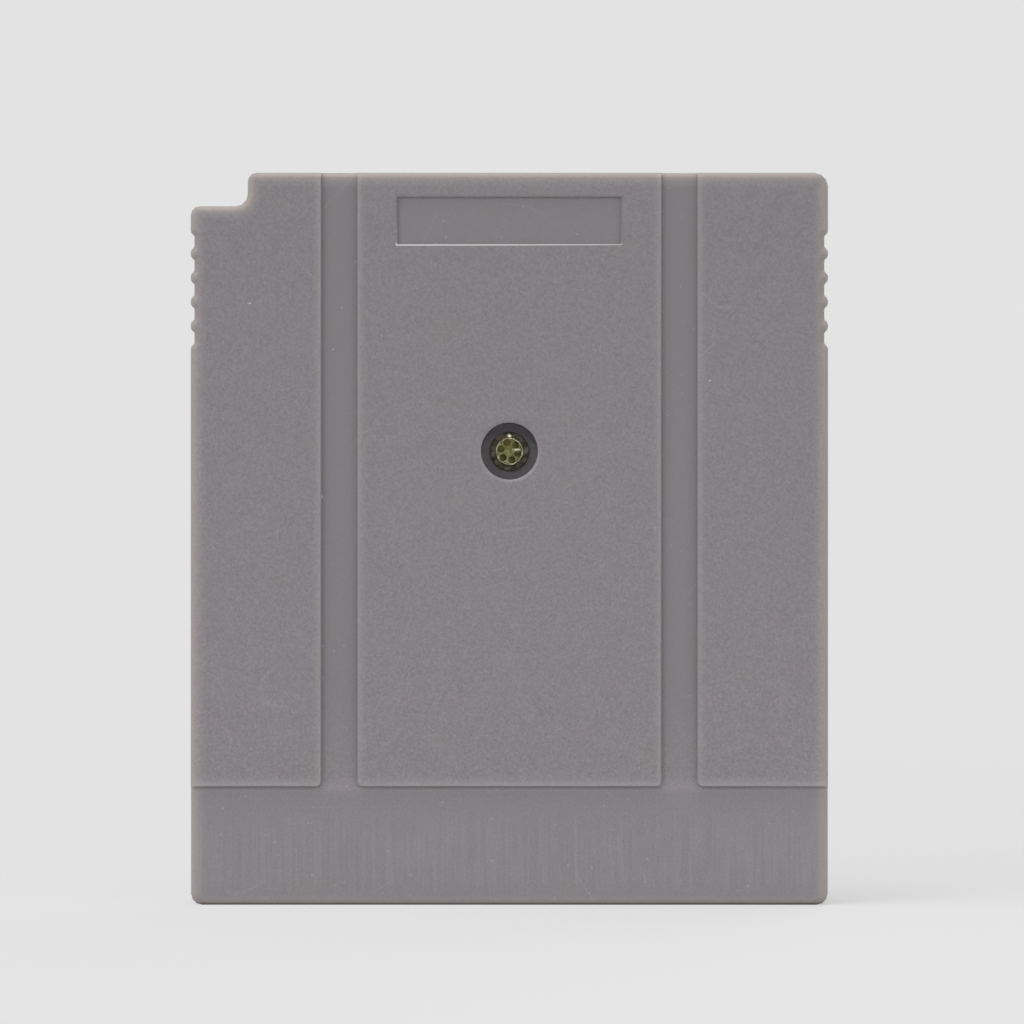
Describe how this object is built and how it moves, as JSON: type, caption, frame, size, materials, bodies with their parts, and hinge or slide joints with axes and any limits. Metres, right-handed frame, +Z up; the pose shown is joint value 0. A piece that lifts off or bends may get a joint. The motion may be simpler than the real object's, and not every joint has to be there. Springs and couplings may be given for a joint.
{
  "type": "game cartridge",
  "caption": "Slim two-shell handheld game cartridge with side grips, a notched top corner, a screw well and an edge-connector slot.",
  "frame": {"origin": "middle of the contact end, on the surface that the cartridge stands on", "axes": "+Z up from the contact end to the top edge, -Y out of the rear face with the screw, +X to the right seen from that rear face"},
  "size_m": [0.057, 0.0078, 0.0655],
  "materials": {
    "shell_plastic": "purplish grey, fine moulded grain",
    "screw_metal": "yellow passivated zinc",
    "board_laminate": "green solder mask",
    "gold_contact": "gold plate",
    "chip_package": "black moulded package",
    "tinned_metal": "bright tin",
    "cell_steel": "satin nickel",
    "tab_metal": "rolled nickel strip",
    "capacitor_ceramic": "tan ceramic",
    "resistor_body": "black glaze"
  },
  "bodies": {
    "root": {"rear_shell": "shell_plastic", "front_shell": "shell_plastic", "security_screw": "screw_metal", "circuit_board": "board_laminate", "edge_contacts": "gold_contact", "program_rom": "chip_package", "program_rom_legs": "tinned_metal", "save_ram": "chip_package", "save_ram_legs": "tinned_metal", "bank_controller": "chip_package", "bank_controller_legs": "tinned_metal", "power_monitor": "chip_package", "power_monitor_legs": "tinned_metal", "coin_cell": "cell_steel", "cell_plus_tab": "tab_metal", "cell_minus_tab": "tab_metal", "ceramic_capacitors": "capacitor_ceramic", "capacitor_terminals": "tinned_metal", "chip_resistors": "resistor_body", "resistor_terminals": "tinned_metal"}
  },
  "joints": []
}
